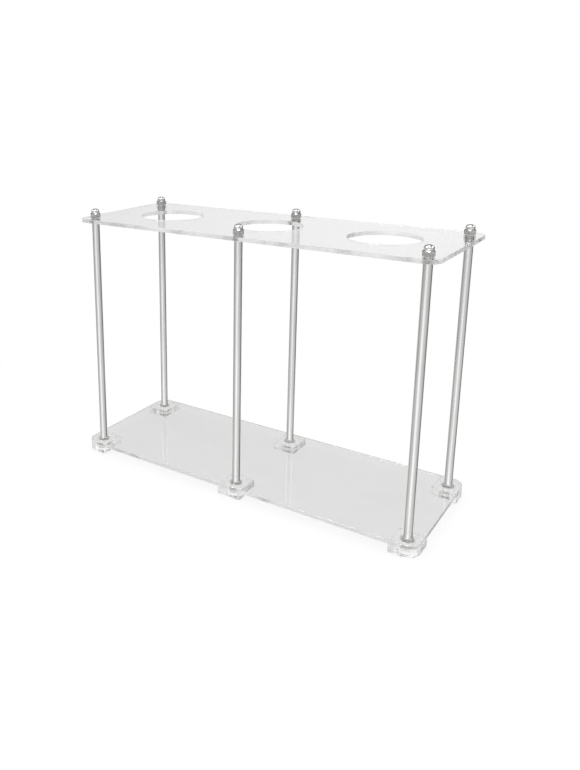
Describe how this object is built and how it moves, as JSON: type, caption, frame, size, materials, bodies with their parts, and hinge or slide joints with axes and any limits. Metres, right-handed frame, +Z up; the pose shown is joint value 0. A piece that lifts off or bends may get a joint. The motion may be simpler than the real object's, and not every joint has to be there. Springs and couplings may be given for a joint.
{
  "type": "plastic bag holder",
  "caption": "Free-standing counter-top bag holder: a clear acrylic base and a clear top plate with round openings in a row, joined by stainless posts with domed cap nuts.",
  "frame": {"origin": "centre of the footprint, on the surface the feet stand on", "axes": "+X along the length and the row of openings, -Y towards the user, +Z up"},
  "size_m": [0.48, 0.18, 0.345],
  "materials": {
    "plate_acrylic": "clear cast acrylic, polished edges",
    "foot_acrylic": "clear cast acrylic block, polished",
    "tube_steel": "stainless tube, fine lengthwise polish",
    "stud_steel": "plain stainless, rolled thread",
    "cap_nut_metal": "polished stainless",
    "washer_metal": "plain stainless",
    "base_nut_metal": "plain stainless"
  },
  "bodies": {
    "root": {"top_plate": "plate_acrylic", "bottom_plate": "plate_acrylic", "post_tube_front_left": "tube_steel", "tie_stud_front_left": "stud_steel", "cap_nut_front_left": "cap_nut_metal", "base_washer_front_left": "washer_metal", "base_nut_front_left": "base_nut_metal", "foot_front_left": "foot_acrylic", "post_tube_front_middle": "tube_steel", "tie_stud_front_middle": "stud_steel", "cap_nut_front_middle": "cap_nut_metal", "base_washer_front_middle": "washer_metal", "base_nut_front_middle": "base_nut_metal", "foot_front_middle": "foot_acrylic", "post_tube_front_right": "tube_steel", "tie_stud_front_right": "stud_steel", "cap_nut_front_right": "cap_nut_metal", "base_washer_front_right": "washer_metal", "base_nut_front_right": "base_nut_metal", "foot_front_right": "foot_acrylic", "post_tube_back_left": "tube_steel", "tie_stud_back_left": "stud_steel", "cap_nut_back_left": "cap_nut_metal", "base_washer_back_left": "washer_metal", "base_nut_back_left": "base_nut_metal", "foot_back_left": "foot_acrylic", "post_tube_back_middle": "tube_steel", "tie_stud_back_middle": "stud_steel", "cap_nut_back_middle": "cap_nut_metal", "base_washer_back_middle": "washer_metal", "base_nut_back_middle": "base_nut_metal", "foot_back_middle": "foot_acrylic", "post_tube_back_right": "tube_steel", "tie_stud_back_right": "stud_steel", "cap_nut_back_right": "cap_nut_metal", "base_washer_back_right": "washer_metal", "base_nut_back_right": "base_nut_metal", "foot_back_right": "foot_acrylic"}
  },
  "joints": []
}
